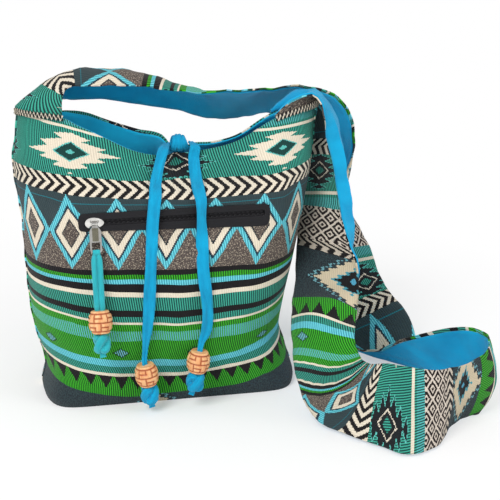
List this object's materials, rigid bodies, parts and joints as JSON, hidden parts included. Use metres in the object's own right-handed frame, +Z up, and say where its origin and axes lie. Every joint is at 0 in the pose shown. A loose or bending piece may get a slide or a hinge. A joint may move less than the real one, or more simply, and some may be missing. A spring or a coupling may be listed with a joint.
{
  "type": "sling bag",
  "caption": "Woven cotton sling bag with a wide long strap, tied scoop mouth, zipped front pocket and beaded ties.",
  "frame": {"origin": "middle of the flat base, on the surface that the bag stands on", "axes": "+Z up, -Y towards the zipped front, +X to the right seen from the front, where the strap lies"},
  "size_m": [0.5022, 0.3558, 0.36],
  "materials": {
    "woven_cotton": "jacquard weave, ribbed, matt",
    "lining_cotton": "plain cotton, matt",
    "ribbon_cotton": "plain cotton, matt",
    "teal_cord": "plain cotton cord, matt",
    "zip_tape": "woven nylon tape, matt",
    "zip_teeth": "nylon, satin",
    "nickel": "nickel plate, bright",
    "carved_wood": "light wood, carved, satin"
  },
  "bodies": {
    "bag": {"bag_outer": "woven_cotton", "bag_lining": "lining_cotton", "pocket_bag": "lining_cotton", "strap_outer": "woven_cotton", "strap_lining": "lining_cotton", "zip_tape_upper": "zip_tape", "zip_tape_lower": "zip_tape", "zip_teeth_upper": "zip_teeth", "zip_teeth_lower": "zip_teeth", "zip_stop_left": "nickel", "zip_stop_right": "nickel", "tie_knot": "ribbon_cotton", "tie_stem_front": "ribbon_cotton", "tie_stem_back": "ribbon_cotton", "tie_ribbon_left": "ribbon_cotton", "tie_ribbon_right": "ribbon_cotton", "tie_bead_left": "carved_wood", "tie_bead_right": "carved_wood", "tie_end_left": "ribbon_cotton", "tie_end_right": "ribbon_cotton"},
    "slider": {"zip_slider": "nickel"},
    "pull": {"pull_tab": "nickel"},
    "pendant": {"pull_cord": "teal_cord", "pull_bead": "carved_wood", "pull_knot": "teal_cord"}
  },
  "joints": [
    {"name": "zip_slide", "type": "slide", "parent": "bag", "child": "slider", "axis": [1, 0, 0], "range_m": [0, 0.172], "deforming": ["tie_ribbon_left", "tie_ribbon_right"]},
    {"name": "pull_lift", "type": "hinge", "parent": "slider", "child": "pull", "pos_m": [-0.0835, -0.0702, 0.214], "axis": [-1, 0, 0], "range_deg": [0, 110]},
    {"name": "cord_swing", "type": "hinge", "parent": "pull", "child": "pendant", "pos_m": [-0.0835, -0.07786, 0.18541], "axis": [-1, 0, 0], "range_deg": [0, 60]}
  ]
}
